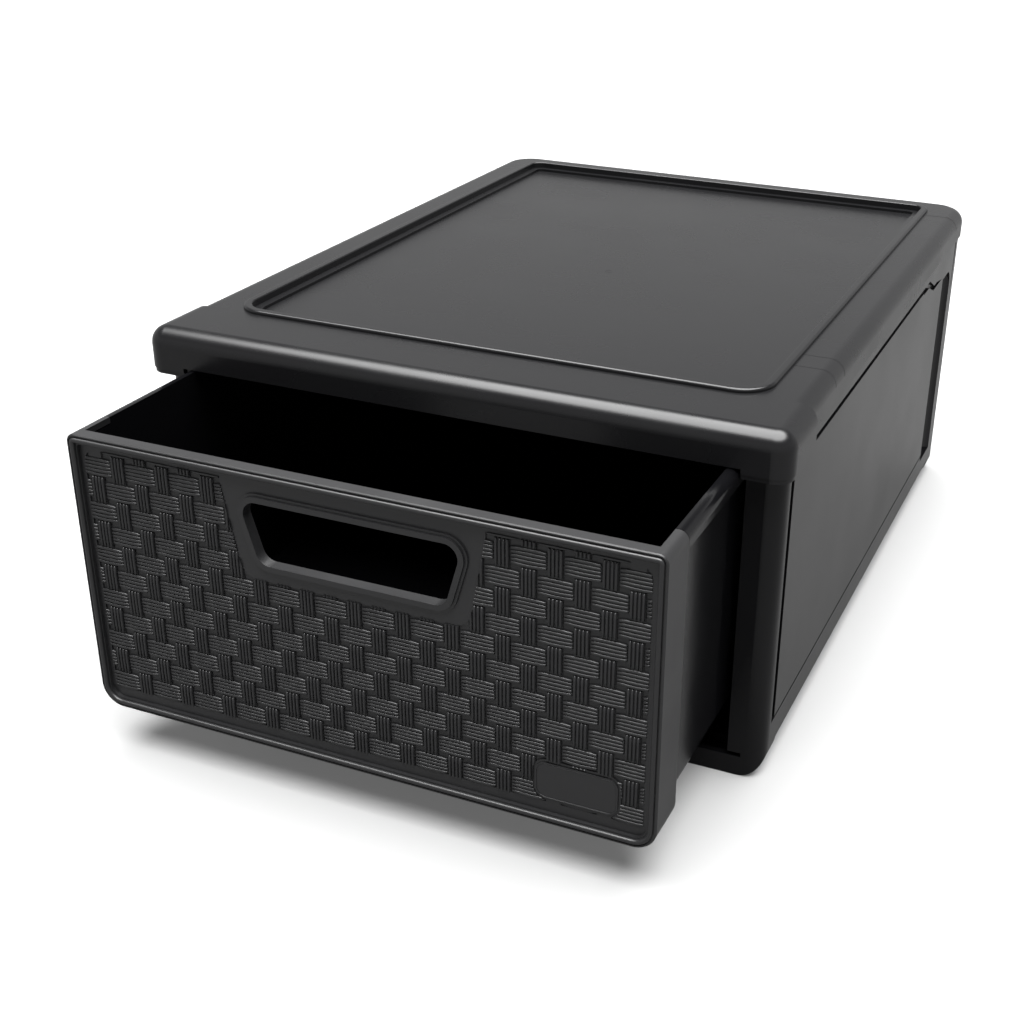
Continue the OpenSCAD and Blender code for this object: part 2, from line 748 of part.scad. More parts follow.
module drawer_front() color(drawer_black) {
    depth_plate = front_d - margin_d;
    rail_back = depth_plate - plate_t - tub_front_wall;
    z_hold = z_top - hold_down - hold_h;
    r_in = front_r_top - bead_w;
    r_step = 1.5;
    // drawn face up: local z runs from the returns' back edge to the front
    translate([0, y_return, 0]) rotate([90, 0, 0]) difference() {
        union() {
            translate([0, 0, front_d])
                ring_sweep(hx_front, front_low, z_top, front_r_low, front_r_top)
                    bead_section();
            difference() {
                translate([0, 0, depth_plate - plate_t]) linear_extrude(plate_t)
                    front_outline(band_t - eps, band_t - eps,
                                  front_r_low - band_t, front_r_top - band_t);
                translate([0, 0, depth_plate - weave_d])
                    linear_extrude(margin_d + weave_d) weave_field();
            }
            // low step inside the bead
            translate([0, 0, depth_plate - eps]) linear_extrude(margin_d / 2 + eps)
                difference() {
                    front_outline(bead_w - eps, bead_w - eps, front_r_low - bead_w, r_in);
                    front_outline(bead_w + bead_step, bead_w + bead_step,
                                  front_r_low - bead_w - bead_step, r_step);
                }
            // ring of the hand hold, in two levels
            translate([0, 0, rail_back])
                linear_extrude(depth_plate + hold_proud / 2 - rail_back)
                    tapered(hold_w_top, hold_w_low, z_hold, hold_h, hold_r, hold_ring);
            translate([0, 0, rail_back])
                linear_extrude(depth_plate + hold_proud - rail_back)
                    tapered(hold_w_top, hold_w_low, z_hold, hold_h, hold_r,
                            hold_ring - hold_step);
            translate([0, 0, depth_plate - eps]) linear_extrude(plate_proud + eps)
                name_plate_outline(0);
            translate([0, 0, depth_plate - weave_d - eps]) {
                linear_extrude(weave_d + eps) intersection() {
                    weave_field();
                    weave_pads(true);
                }
                linear_extrude(weave_d * weft_level + eps) intersection() {
                    weave_field();
                    weave_pads(false);
                }
            }
        }
        translate([0, 0, rail_back - 1]) linear_extrude(front_d + 2)
            tapered(hold_w_top, hold_w_low, z_hold, hold_h, hold_r, 0);
        // open the drawer's mouth behind the top rail
        translate([flange_w - hx_front, z_top - 2 * band_t, -1])
            cube([2 * (hx_front - flange_w), 3 * band_t, rail_back + 1]);
    }
}

top_cover();
left_side();
right_side();
back_panel();
base();
drawer_tub();
drawer_front();
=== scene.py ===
"""Stackable drawer box: finishes, woven strands, moulding marks and studio.

All of it is set round the fixed CAD frame. Sizes in the property groups and in
the named values are millimetres in the frame of the CAD part.
"""

import math

import bpy
from mathutils import Matrix, Vector


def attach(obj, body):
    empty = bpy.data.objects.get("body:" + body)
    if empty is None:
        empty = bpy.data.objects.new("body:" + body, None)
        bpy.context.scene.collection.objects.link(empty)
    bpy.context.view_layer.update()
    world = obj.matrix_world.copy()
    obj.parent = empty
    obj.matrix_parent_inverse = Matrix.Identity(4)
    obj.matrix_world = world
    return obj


bl_info = {
    "name": "Stackable drawer box",
    "version": (1, 0, 0),
    "blender": (4, 5, 0),
    "location": "View3D > Sidebar > Drawer box",
    "description": "Dresses a stackable drawer box and sets it in a plain studio",
    "category": "Object",
}

MM = 0.001

# strands: sides of the full round, length of the rounded end, how its last ring
# shrinks, and the share of the rise that sinks into the pad
STRAND_SIDES = 10
END_ROUND = 0.45
END_SCALE = (1, 0.35, 0.4)
SINK = 0.6

# weave: share of the row pitch that a cross bundle is high, the part row at the
# foot of the field, and the first row's distance from its top, both in rows
CROSS_SHARE = 0.81
PART_ROW = 0.1
FIRST_ROW = 0.71

# blocks that trim the bundles: middle and depths from front to back, how far the
# apron's block stands past the apron, and the radius of the field's upper corners
BLOCK_PLACE = -271
FIELD_DEEP, APRON_DEEP, PLATE_DEEP = 8, 10, 12
APRON_PAST = 6
FIELD_ROUND = 6
# a bundle as near as this to an upper corner of the field is trimmed to its round
CORNER_ZONE = 12

# booleans: how far aside the tool is tried, and the growth that is still rounding
ASIDES = (0, 0.04, -0.04, 0.08)
SLACK = 0.1

# marks: depth of a line's flat part; the gate's depth, how far it stands out of the
# panel, and the width of its edge and the sink within it; the plate rim's depth and
# how far it stands out of the plate
LINE_DEEP = 1
GATE_DEEP, GATE_OUT = 0.6, 0.06
GATE_EDGE, GATE_SINK = 0.5, 0.05
RIM_DEEP, RIM_OUT = 0.9, 0.25
# the plate rim's insets, each with its shift to the back: its ledge, the groove
# behind it, the groove's floor, and the plate inside
RIM_STEPS = ((0.4, 0), (0.1, 0.35), (0.35, 0), (0.1, -0.15))

# a Mix node's sockets for colour
COLOUR_A, COLOUR_B, MIXED = 6, 7, 2

SENSOR = 36
PICTURE_PIXELS = 1024

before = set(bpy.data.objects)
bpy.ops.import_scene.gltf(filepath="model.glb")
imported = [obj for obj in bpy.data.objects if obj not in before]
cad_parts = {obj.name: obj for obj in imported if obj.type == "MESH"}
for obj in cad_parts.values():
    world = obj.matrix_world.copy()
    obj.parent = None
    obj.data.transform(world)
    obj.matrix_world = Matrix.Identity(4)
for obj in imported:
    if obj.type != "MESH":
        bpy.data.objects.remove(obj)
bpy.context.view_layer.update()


# ---- values a user would change ----


class WeaveSizes(bpy.types.PropertyGroup):
    """Basket weave of the drawer front."""

    columns: bpy.props.IntProperty(
        name="Columns", description="Number of weave columns", default=23
    )
    rows: bpy.props.IntProperty(
        name="Rows", description="Number of full weave rows", default=11
    )
    half_width: bpy.props.FloatProperty(
        name="Half width", description="Half the width of the woven field", default=123.1
    )
    low: bpy.props.FloatProperty(
        name="Lower edge", description="Height of the field's lower edge", default=28.5
    )
    height: bpy.props.FloatProperty(
        name="Height", description="Height of the woven field", default=112.9
    )
    bundle_width: bpy.props.FloatProperty(
        name="Bundle width", description="Width of an upright bundle", default=6.2
    )
    bundle_gap: bpy.props.FloatProperty(
        name="Bundle gap", description="Gap between neighbouring bundles", default=0.35
    )
    pinch: bpy.props.FloatProperty(
        name="Pinch",
        description="How much the strands of a cross bundle close up at its ends",
        default=0.4,
    )
    cross_level: bpy.props.FloatProperty(
        name="Cross level",
        description="Place of the pads under the cross bundles, front to back",
        default=-271.05,
    )
    upright_level: bpy.props.FloatProperty(
        name="Upright level",
        description="Place of the pads under the upright bundles, front to back",
        default=-271.2,
    )


class HoldSizes(bpy.types.PropertyGroup):
    """Smooth places that the weave stops at."""

    apron_top: bpy.props.FloatProperty(
        name="Apron top", description="Height of the smooth apron's top", default=147.8
    )
    apron_low: bpy.props.FloatProperty(
        name="Apron foot", description="Height of the smooth apron's foot", default=98.8
    )
    half_top: bpy.props.FloatProperty(
        name="Half width at the top", description="Apron half width on top", default=59.4
    )
    half_low: bpy.props.FloatProperty(
        name="Half width at the foot", description="Apron half width below", default=50.2
    )
    apron_round: bpy.props.FloatProperty(
        name="Apron corners", description="Radius of the apron's corners", default=8.0
    )
    plate_left: bpy.props.FloatProperty(
        name="Plate left", description="Left edge of the bare plate's recess", default=77.0
    )
    plate_right: bpy.props.FloatProperty(
        name="Plate right",
        description="Right edge of the bare plate's recess",
        default=113.8,
    )
    plate_low: bpy.props.FloatProperty(
        name="Plate foot", description="Lower edge of the plate's recess", default=29.3
    )
    plate_top: bpy.props.FloatProperty(
        name="Plate top", description="Upper edge of the plate's recess", default=48.2
    )
    plate_round: bpy.props.FloatProperty(
        name="Plate corners", description="Corner radius of the recess", default=5.6
    )


class MarkSizes(bpy.types.PropertyGroup):
    """Fine marks that the moulds leave."""

    line_places: bpy.props.FloatVectorProperty(
        name="Witness lines",
        description="Places of the lines over the right rim, front to back",
        default=(-116.0, -101.0, 159.0),
    )
    line_wide: bpy.props.FloatProperty(
        name="Line width", description="Width of a witness line", default=0.35
    )
    line_high: bpy.props.FloatProperty(
        name="Line height", description="Height of a witness line", default=0.06
    )
    lip_side: bpy.props.FloatProperty(
        name="Lip side", description="Place of the lip's outer face", default=128.0
    )
    rim_side: bpy.props.FloatProperty(
        name="Rim side", description="Place of the rim's outer face", default=147.0
    )
    rim_top: bpy.props.FloatProperty(
        name="Rim top", description="Height of the rim", default=165.0
    )
    rim_round: bpy.props.FloatProperty(
        name="Rim radius", description="Radius of the rim's edge", default=7.0
    )
    gate_radius: bpy.props.FloatProperty(
        name="Gate radius", description="Radius of the gate mark", default=1.8
    )
    gate_place: bpy.props.FloatVectorProperty(
        name="Gate place",
        description="Place of the gate mark on the sunk panel",
        size=2,
        default=(2.0, -15.0),
    )
    panel_top: bpy.props.FloatProperty(
        name="Panel top", description="Height of the sunk panel", default=162.2
    )
    plate_face: bpy.props.FloatProperty(
        name="Plate face",
        description="Place of the bare plate's face, front to back",
        default=-271.5,
    )
    plate_inset: bpy.props.FloatProperty(
        name="Plate inset", description="Inset of the plate from its recess", default=1.1
    )


class PlasticFinish(bpy.types.PropertyGroup):
    """Colours of the black plastics, as sRGB hex, and the size of their grain."""

    cover: bpy.props.StringProperty(
        name="Cover", description="Colour of the top cover", default="#0e0e0f"
    )
    body: bpy.props.StringProperty(
        name="Body", description="Colour of the panels and the base", default="#070708"
    )
    tub: bpy.props.StringProperty(
        name="Tub", description="Colour of the drawer tub", default="#060607"
    )
    front: bpy.props.StringProperty(
        name="Front", description="Colour of the woven front", default="#151516"
    )
    grain: bpy.props.FloatProperty(
        name="Grain", description="Size of the moulded grain", default=0.8
    )


class StudioSizes(bpy.types.PropertyGroup):
    """Floor, light and camera."""

    floor: bpy.props.StringProperty(
        name="Floor", description="Colour of the floor", default="#828282"
    )
    floor_cloud: bpy.props.StringProperty(
        name="Floor clouds", description="Colour of the floor's clouds", default="#858585"
    )
    # painted shade: the darker colour the floor shows only in the plastic's reflections
    floor_mirrored_shade: bpy.props.StringProperty(
        name="Floor mirrored",
        description="Colour of the floor as the plastic mirrors it",
        default="#484848",
    )
    half_floor: bpy.props.FloatProperty(
        name="Half floor", description="Half the floor's width", default=6000.0
    )
    wall_light: bpy.props.FloatProperty(
        name="Wall light", description="Strength of the pale walls", default=0.55
    )
    dark_light: bpy.props.FloatProperty(
        name="Dark light", description="Strength of the dark band above them", default=0.03
    )
    wall_edge: bpy.props.FloatVectorProperty(
        name="Wall edge",
        description="Where the walls start to fade and end, as sines of height",
        size=2,
        default=(0.40, 0.56),
    )
    cap_light: bpy.props.FloatProperty(
        name="Overhead light", description="Strength of the light overhead", default=18.0
    )
    cap_edge: bpy.props.FloatVectorProperty(
        name="Overhead edge",
        description="Where the light overhead starts and is full, as sines of height",
        size=2,
        default=(0.79, 0.86),
    )
    camera_place: bpy.props.FloatVectorProperty(
        name="Camera",
        description="Place of the camera",
        default=(278.20, -712.68, 387.49),
    )
    yaw: bpy.props.FloatProperty(
        name="Turn",
        description="Turn of the view to the left",
        default=math.radians(22.33),
        subtype="ANGLE",
        unit="ROTATION",
    )
    pitch: bpy.props.FloatProperty(
        name="Dip",
        description="Dip of the view below the horizon",
        default=math.radians(26.72),
        subtype="ANGLE",
        unit="ROTATION",
    )
    roll: bpy.props.FloatProperty(
        name="Roll",
        description="Roll of the camera",
        default=math.radians(1.079),
        subtype="ANGLE",
        unit="ROTATION",
    )
    focal_pixels: bpy.props.FloatProperty(
        name="Focal length",
        description="Focal length in pixels of a 1024 pixel wide picture",
        default=1512.0,
    )
    shift: bpy.props.FloatVectorProperty(
        name="Shift",
        description="Shift of the lens, as a share of the picture's width",
        size=2,
        default=(-0.0711, 0.0249),
    )


# ---- helpers, in metres where they don't say otherwise ----


def linear(hex_colour):
    """A linear RGBA colour from an sRGB hex string, by the sRGB curve."""
    parts = [int(hex_colour[i : i + 2], 16) / 255 for i in (1, 3, 5)]
    return (
        *(c / 12.92 if c <= 0.04045 else ((c + 0.055) / 1.055) ** 2.4 for c in parts),
        1.0,
    )


def add_node(tree, kind, settings=None, sockets=None, links=None):
    """Adds a node with its settings, its socket values and links into its sockets."""
    node = tree.nodes.new(kind)
    for name, value in (settings or {}).items():
        setattr(node, name, value)
    for name, value in (sockets or {}).items():
        node.inputs[name].default_value = value
    for name, source in (links or {}).items():
        tree.links.new(source, node.inputs[name])
    return node


def only(obj):
    """Selects one object alone and makes it active."""
    bpy.ops.object.select_all(action="DESELECT")
    obj.select_set(True)
    bpy.context.view_layer.objects.active = obj


def settle(obj):
    """Puts the object's place, turn and size into its mesh."""
    only(obj)
    bpy.ops.object.transform_apply(location=True, rotation=True, scale=True)


def add_primitive(kind, name, **values):
    """Adds a mesh primitive, names it and settles it."""
    if bpy.context.object and bpy.context.object.mode != "OBJECT":
        bpy.ops.object.mode_set(mode="OBJECT")
    bpy.ops.object.select_all(action="DESELECT")
    getattr(bpy.ops.mesh, f"primitive_{kind}_add")(**values)
    obj = bpy.context.object
    obj.name = name
    obj.data.name = name
    settle(obj)
    return obj


def add_box(name, middle, size):
    """Adds a box from its middle and its size in millimetres."""
    return add_primitive(
        "cube",
        name,
        size=1,
        location=[c * MM for c in middle],
        scale=[s * MM for s in size],
    )


def pick(obj, test, kind="VERT"):
    """In object mode, selects the elements of one kind that pass the test.

    The test takes a vertex's place, the places of an edge's ends, or the middle
    and the normal of a face.
    """
    mesh = obj.data
    for group in (mesh.vertices, mesh.edges, mesh.polygons):
        group.foreach_set("select", [False] * len(group))
    if kind == "VERT":
        for v in mesh.vertices:
            v.select = test(v.co)
    elif kind == "EDGE":
        for e in mesh.edges:
            a, b = (mesh.vertices[i].co for i in e.vertices)
            e.select = test(a, b)
    else:
        for f in mesh.polygons:
            f.select = test(f.center, f.normal)


def start_edit(obj, picked=None):
    """Opens one object in edit mode, with its picked elements or all of it selected."""
    only(obj)
    bpy.ops.object.mode_set(mode="EDIT")
    if picked:
        bpy.ops.mesh.select_mode(type=picked)
    else:
        bpy.ops.mesh.select_all(action="SELECT")


def end_edit():
    """Goes back to object mode."""
    bpy.ops.object.mode_set(mode="OBJECT")


def cut_across(obj, place, normal, clear=False):
    """Cuts the whole mesh by a plane; clear takes away what lies past it and closes it."""
    start_edit(obj)
    bpy.ops.mesh.bisect(
        plane_co=place, plane_no=normal, use_fill=clear, clear_outer=clear
    )
    end_edit()


def move_ring(obj, test, scale, centre, shift=(0, 0, 0)):
    """Scales the vertices that pass the test about a centre, and shifts them."""
    pick(obj, test)
    start_edit(obj, "VERT")
    bpy.ops.transform.resize(value=scale, center_override=centre)
    bpy.ops.transform.translate(value=shift)
    end_edit()


def round_corners(obj, radius, segments, at_height=lambda z: True):
    """Rounds a box's edges from front to back by a radius in millimetres."""
    pick(
        obj,
        lambda a, b: abs(a.y - b.y) > 0.1 * MM and at_height(a.z),
        "EDGE",
    )
    start_edit(obj, "EDGE")
    bpy.ops.mesh.bevel(offset=radius * MM, segments=segments, affect="EDGES")
    end_edit()


def join(objs, name):
    """Joins several objects into the first of them."""
    bpy.ops.object.select_all(action="DESELECT")
    for o in objs:
        o.select_set(True)
    bpy.context.view_layer.objects.active = objs[0]
    bpy.ops.object.join()
    objs[0].name = name
    objs[0].data.name = name
    return objs[0]


def copied(obj, place):
    """A copy of the object with its own mesh, set at a place."""
    twin = obj.copy()
    twin.data = obj.data.copy()
    twin.location = place
    bpy.context.scene.collection.objects.link(twin)
    return twin


def diagonal(obj):
    """Length of the diagonal of the mesh's box."""
    xs, ys, zs = zip(*(v.co for v in obj.data.vertices))
    return math.dist((min(xs), min(ys), min(zs)), (max(xs), max(ys), max(zs)))


def boolean(obj, operation, tool):
    """Applies a boolean; False where it makes the object larger at every try."""
    before, size = obj.data, diagonal(obj)
    for aside in ASIDES:
        obj.data = before.copy()
        tool.location = (aside * MM, 0, aside * MM)
        only(obj)
        step = obj.modifiers.new(operation.title(), "BOOLEAN")
        step.operation = operation
        step.solver = "EXACT"
        step.object = tool
        bpy.ops.object.modifier_apply(modifier=step.name)
        if not obj.data.polygons or diagonal(obj) <= size + SLACK * MM:
            return True
    return False


# ---- woven strands ----


def strand(length, width, rise, cuts, name):
    """One half-round strand along X, cut into rings and rounded at its ends."""
    obj = add_primitive(
        "cylinder",
        name,
        vertices=STRAND_SIDES,
        radius=width / 2,
        depth=length,
        end_fill_type="NGON",
        rotation=(0, math.pi / 2, 0),
    )
    for i in range(1, cuts):
        cut_across(obj, (length * (i / cuts - 0.5), 0, 0), (1, 0, 0))
    near_end = length / 2 - 0.01 * MM
    for side in (-1, 1):
        cut_across(obj, (side * (length / 2 - END_ROUND * MM), 0, 0), (1, 0, 0))
        move_ring(
            obj,
            lambda p, side=side: side * p.x > near_end,
            scale=END_SCALE,
            centre=(side * length / 2, 0, 0),
        )
    start_edit(obj)
    bpy.ops.transform.resize(value=(1, 2 * rise / width, 1), center_override=(0, 0, 0))
    end_edit()
    # only the half that stands out of the pad is kept, with a little to sink into it
    cut_across(obj, (0, SINK * rise, 0), (0, 1, 0), clear=True)
    return obj


def bundle(length, height, count, cuts, rise, arch, pinch, share, name):
    """Strands side by side along X, arched to the front and pinched at their ends.

    share is how much of its pitch a strand fills.
    """
    pitch = height / count
    single = strand(length, pitch * share, rise, cuts, name)
    heights = [(i - (count - 1) / 2) * pitch for i in range(count)]
    strands = [single, *(copied(single, (0, 0, z)) for z in heights[1:])]
    single.location = (0, 0, heights[0])
    whole = join(strands, name)
    settle(whole)
    rings = [length * (i / cuts - 0.5) for i in range(cuts + 1)]
    rings += [length / 2 - END_ROUND * MM, END_ROUND * MM - length / 2]
    near = 0.02 * MM
    for x in rings:
        t = 2 * x / length
        move_ring(
            whole,
            lambda p, x=x: abs(p.x - x) < near,
            scale=(1, 1, 1 - 2 * pinch / height * t * t),
            centre=(x, 0, 0),
            shift=(0, -arch * (1 - t * t), 0),
        )
    return whole


class DRAWERBOX_OT_weave_strands(bpy.types.Operator):
    """Lays the moulded strands of the basket weave on the pads of the drawer front"""

    bl_idname = "drawerbox.weave_strands"
    bl_label = "Woven strands"

    def trims_for(self, weave, hold, x, z, half_w, half_h):
        """What trims a bundle: empty where it lies free, None where it is off the field.

        edge is the field's straight outline and field its round upper corners, apron
        and plate are the smooth places, and foot is the straight foot of the apron.
        """
        trims = set()
        on_field = 0
        high = weave.low + weave.height
        for i in (-1, -0.5, 0, 0.5, 1):
            for j in (-1, -0.5, 0, 0.5, 1):
                px, pz = x + i * half_w, z + j * half_h
                lean = (pz - hold.apron_low) / (hold.apron_top - hold.apron_low)
                half = hold.half_low + (hold.half_top - hold.half_low) * lean
                off = set()
                if abs(px) > weave.half_width or not weave.low < pz < high:
                    off.add("edge")
                if pz > hold.apron_low and abs(px) < half:
                    off.add("apron")
                if hold.plate_left < px < hold.plate_right:
                    if hold.plate_low < pz < hold.plate_top:
                        off.add("plate")
                on_field += not off
                trims |= off
        if abs(x) > weave.half_width - CORNER_ZONE and z > high - CORNER_ZONE:
            trims = (trims - {"edge"}) | {"field"}
        straight_foot = hold.half_low - hold.apron_round / 2
        if "apron" in trims and abs(x) + half_w < straight_foot:
            trims = (trims - {"apron"}) | {"foot"}
        return trims if on_field else None

    def trim_to_field(self, piece, weave):
        """Cuts a bundle off at the straight edges of the woven field."""
        half, low, high = weave.half_width, weave.low, weave.low + weave.height
        for place, normal in (
            ((half, 0, 0), (1, 0, 0)),
            ((-half, 0, 0), (-1, 0, 0)),
            ((0, 0, high), (0, 0, 1)),
            ((0, 0, low), (0, 0, -1)),
        ):
            reach_out = max(
                Vector(normal).dot(v.co - Vector(place) * MM) for v in piece.data.vertices
            )
            if reach_out > 0:
                cut_across(piece, Vector(place) * MM, normal, clear=True)

    def trim(self, piece, trims, blocks, weave, hold):
        """Trims a bundle; False where nothing is left of it or a block doesn't cut it."""
        if "edge" in trims:
            self.trim_to_field(piece, weave)
        if "foot" in trims:
            cut_across(piece, (0, 0, hold.apron_low * MM), (0, 0, 1), clear=True)
        for name in sorted(trims & blocks.keys()):
            operation = "INTERSECT" if name == "field" else "DIFFERENCE"
            if not boolean(piece, operation, blocks[name]):
                return False
        return bool(piece.data.polygons)

    def field_block(self, weave):
        """Block in the outline of the woven field, upper corners rounded."""
        middle = weave.low + weave.height / 2
        block = add_box(
            "field_block",
            (0, weave.cross_level, middle),
            (2 * weave.half_width, FIELD_DEEP, weave.height),
        )
        round_corners(block, FIELD_ROUND, 4, lambda z: z > middle * MM)
        return block

    def apron_block(self, hold):
        """Block in the outline of the smooth apron round the hand hold."""
        h = hold.apron_top + APRON_PAST - hold.apron_low
        rise = hold.apron_top - hold.apron_low
        half = hold.half_low + (hold.half_top - hold.half_low) * h / rise
        middle = hold.apron_low + h / 2
        block = add_box(
            "apron_block",
            (0, BLOCK_PLACE, middle),
            (2 * hold.half_low, APRON_DEEP, h),
        )
        move_ring(
            block,
            lambda p: p.z > middle * MM,
            scale=(half / hold.half_low, 1, 1),
            centre=(0, 0, middle * MM),
        )
        round_corners(block, hold.apron_round, 5, lambda z: z < middle * MM)
        return block

    def plate_block(self, hold):
        """Block in the outline of the bare plate's recess."""
        w = hold.plate_right - hold.plate_left
        h = hold.plate_top - hold.plate_low
        block = add_box(
            "plate_block",
            (hold.plate_left + w / 2, BLOCK_PLACE, hold.plate_low + h / 2),
            (w, PLATE_DEEP, h),
        )
        round_corners(block, hold.plate_round, 5)
        return block

    def sources(self, weave, col_pitch, row_pitch):
        """The cross and the upright bundle, each with its width, height and level."""
        cross_w = 2 * (col_pitch - weave.bundle_gap) - weave.bundle_width
        cross_h = CROSS_SHARE * row_pitch
        upright_h = 2 * row_pitch - cross_h - weave.bundle_gap
        cross = bundle(
            cross_w * MM,
            cross_h * MM,
            count=5,
            cuts=6,
            rise=0.55 * MM,
            arch=0.2 * MM,
            pinch=weave.pinch * MM,
            share=0.88,
            name="cross",
        )
        upright = bundle(
            upright_h * MM,
            weave.bundle_width * MM,
            count=4,
            cuts=4,
            rise=0.75 * MM,
            arch=0.15 * MM,
            pinch=0.0,
            share=0.78,
            name="upright",
        )
        upright.rotation_euler = (0, math.pi / 2, 0)
        settle(upright)
        return (
            (cross, cross_w, cross_h, weave.cross_level),
            (upright, weave.bundle_width, upright_h, weave.upright_level),
        )

    def execute(self, context):
        weave = context.scene.drawerbox_weave
        hold = context.scene.drawerbox_hold
        col_pitch = 2 * weave.half_width / weave.columns
        row_pitch = weave.height / (weave.rows + PART_ROW)
        sources = self.sources(weave, col_pitch, row_pitch)
        blocks = {
            "field": self.field_block(weave),
            "apron": self.apron_block(hold),
            "plate": self.plate_block(hold),
        }
        last = (weave.columns - 1) // 2
        z_first = weave.low + weave.height - row_pitch * FIRST_ROW
        pieces = []
        for row in range(-1, weave.rows):
            for col in range(-last - 1, last + 2):
                source, width, height, level = sources[(row + col + last) % 2]
                x, z = col * col_pitch, z_first - row * row_pitch
                trims = self.trims_for(weave, hold, x, z, width / 2, height / 2)
                if trims is None:
                    continue
                piece = copied(source, (x * MM, level * MM, z * MM))
                settle(piece)
                # what cannot be trimmed is a sliver at the edge of a smooth place
                if self.trim(piece, trims, blocks, weave, hold):
                    pieces.append(piece)
                else:
                    bpy.data.objects.remove(piece)
        if not pieces:
            raise RuntimeError("the weave has no bundles")
        strands = join(pieces, "weave_strands")
        for spare in (*blocks.values(), *(source for source, *_ in sources)):
            bpy.data.objects.remove(spare)
        start_edit(strands)
        bpy.ops.mesh.quads_convert_to_tris()
        end_edit()
        bpy.ops.object.shade_smooth_by_angle(angle=math.radians(50))
        strands.data.materials.clear()
        strands.data.materials.append(front_plastic())
        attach(strands, "drawer")
        return {"FINISHED"}


class DRAWERBOX_OT_moulding_marks(bpy.types.Operator):
    """Adds the witness lines over the rim, the gate mark and the rim of the bare plate"""

    bl_idname = "drawerbox.moulding_marks"
    bl_label = "Moulding marks"

    def witness_line(self, y, marks):
        """A hair line where two mould inserts meet, from the lip over the rim's edge."""
        inner = marks.rim_side - marks.rim_round
        low = marks.rim_top - marks.rim_round
        edge = add_primitive(
            "cylinder",
            "line_edge",
            vertices=96,
            radius=(marks.rim_round + marks.line_high) * MM,
            depth=marks.line_wide * MM,
            location=(inner * MM, y * MM, low * MM),
            rotation=(math.pi / 2, 0, 0),
        )
        cut_across(edge, (inner * MM, 0, 0), (-1, 0, 0), clear=True)
        cut_across(edge, (0, 0, low * MM), (0, 0, -1), clear=True)
        top = marks.rim_top + marks.line_high
        flat = add_box(
            "line_flat",
            ((marks.lip_side + inner) / 2, y, top - LINE_DEEP / 2),
            (inner - marks.lip_side, marks.line_wide, LINE_DEEP),
        )
        return [edge, flat]

    def gate_mark(self, marks):
        """The small round left by the mould's gate in the sunk panel."""
        x, y = marks.gate_place
        gate = add_primitive(
            "cylinder",
            "gate_mark",
            vertices=48,
            radius=marks.gate_radius * MM,
            depth=GATE_DEEP * MM,
            location=(x * MM, y * MM, (marks.panel_top + GATE_OUT - GATE_DEEP / 2) * MM),
        )
        top = marks.panel_top * MM
        pick(gate, lambda c, n: n.z > 0.9 and c.z > top, "FACE")
        start_edit(gate, "FACE")
        bpy.ops.mesh.inset(thickness=GATE_EDGE * MM)
        bpy.ops.transform.translate(value=(0, 0, -GATE_SINK * MM))
        end_edit()
        return gate

    def plate_rim(self, hold, marks):
        """The fine raised edge round the bare plate."""
        inset = marks.plate_inset
        w = hold.plate_right - hold.plate_left - 2 * inset
        h = hold.plate_top - hold.plate_low - 2 * inset
        y = marks.plate_face
        rim = add_box(
            "plate_rim",
            (
                hold.plate_left + inset + w / 2,
                y - RIM_OUT + RIM_DEEP / 2,
                hold.plate_low + inset + h / 2,
            ),
            (w, RIM_DEEP, h),
        )
        round_corners(rim, hold.plate_round - inset, 8)
        front = y * MM
        pick(rim, lambda c, n: n.y < -0.9 and c.y < front, "FACE")
        start_edit(rim, "FACE")
        for thickness, shift in RIM_STEPS:
            bpy.ops.mesh.inset(thickness=thickness * MM)
            bpy.ops.transform.translate(value=(0, shift * MM, 0))
        end_edit()
        return rim

    def execute(self, context):
        hold = context.scene.drawerbox_hold
        marks = context.scene.drawerbox_marks
        parts = []
        for y in marks.line_places:
            parts += self.witness_line(y, marks)
        lines = join(parts, "witness_lines")
        gate = self.gate_mark(marks)
        for piece in (lines, gate):
            piece.data.materials.append(cover_plastic())
            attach(piece, "housing")
        rim = self.plate_rim(hold, marks)
        rim.data.materials.append(front_plastic())
        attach(rim, "drawer")
        return {"FINISHED"}


# ---- finishes ----


def bumps(tree, coords, size, strength, height, previous=None):
    """Normals of a noise relief whose size and height are in millimetres."""
    noise = add_node(
        tree,
        "ShaderNodeTexNoise",
        sockets={"Scale": 1 / (size * MM), "Detail": 2.0, "Roughness": 0.6},
        links={"Vector": coords},
    )
    links = {"Height": noise.outputs["Fac"]}
    if previous:
        links["Normal"] = previous
    bump = add_node(
        tree,
        "ShaderNodeBump",
        sockets={"Strength": strength, "Distance": height * MM},
        links=links,
    )
    return bump.outputs["Normal"]


def spread(tree, coords, size, low, high):
    """A slow noise of a size in millimetres, mapped to a range."""
    noise = add_node(
        tree,
        "ShaderNodeTexNoise",
        sockets={"Scale": 1 / (size * MM), "Detail": 3.0},
        links={"Vector": coords},
    )
    mapped = add_node(
        tree,
        "ShaderNodeMapRange",
        sockets={"From Min": 0.3, "From Max": 0.7, "To Min": low, "To Max": high},
        links={"Value": noise.outputs["Fac"]},
    )
    return mapped.outputs["Result"]


